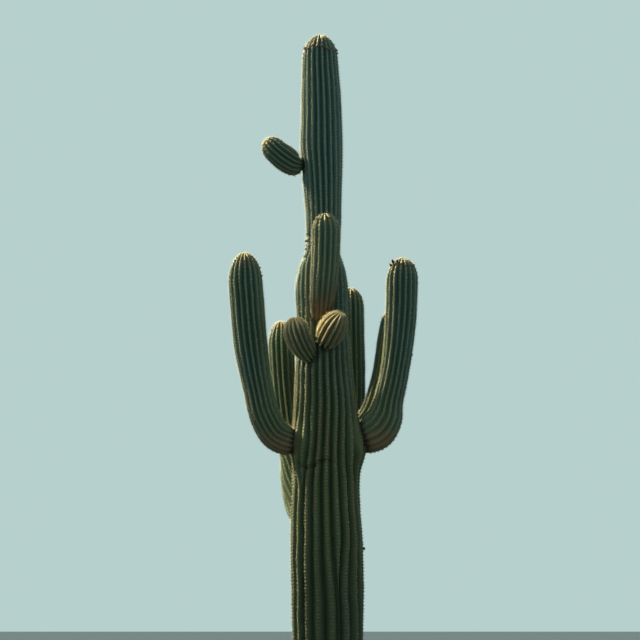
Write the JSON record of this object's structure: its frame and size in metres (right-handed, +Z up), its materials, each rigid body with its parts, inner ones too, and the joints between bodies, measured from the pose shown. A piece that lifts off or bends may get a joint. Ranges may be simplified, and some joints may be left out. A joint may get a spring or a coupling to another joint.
{
  "type": "saguaro cactus",
  "caption": "Tall ribbed saguaro cactus with upturned arms, short young arms and a narrow waist, cut flat at ground level.",
  "frame": {"origin": "middle of the flat cut under the trunk, at ground level", "axes": "+Z up, +X to the viewer's right and +Y away from the viewer of the picture"},
  "size_m": [1.5157, 1.1612, 5.922],
  "materials": {
    "skin": "waxy blue-green skin, matt, paler on the rib crests, brown and corky near the ground and at the arms' necks",
    "spines": "straw-yellow, grey and red-brown spines in felted clusters along the rib crests",
    "husks": "dry brown-pink remains of flowers and fruit at the tips"
  },
  "bodies": {
    "root": {"trunk": "skin", "arm_left_elbow": "skin", "arm_left_upright": "skin", "arm_right_elbow": "skin", "arm_right_upright": "skin", "arm_rear_left_elbow": "skin", "arm_rear_left_upright": "skin", "arm_rear_right_elbow": "skin", "arm_rear_right_upright": "skin", "arm_far_right_elbow": "skin", "arm_far_right_upright": "skin", "arm_front_elbow": "skin", "arm_front_upright": "skin", "bud_left": "skin", "bud_right": "skin", "arm_high_left": "skin"}
  },
  "joints": []
}
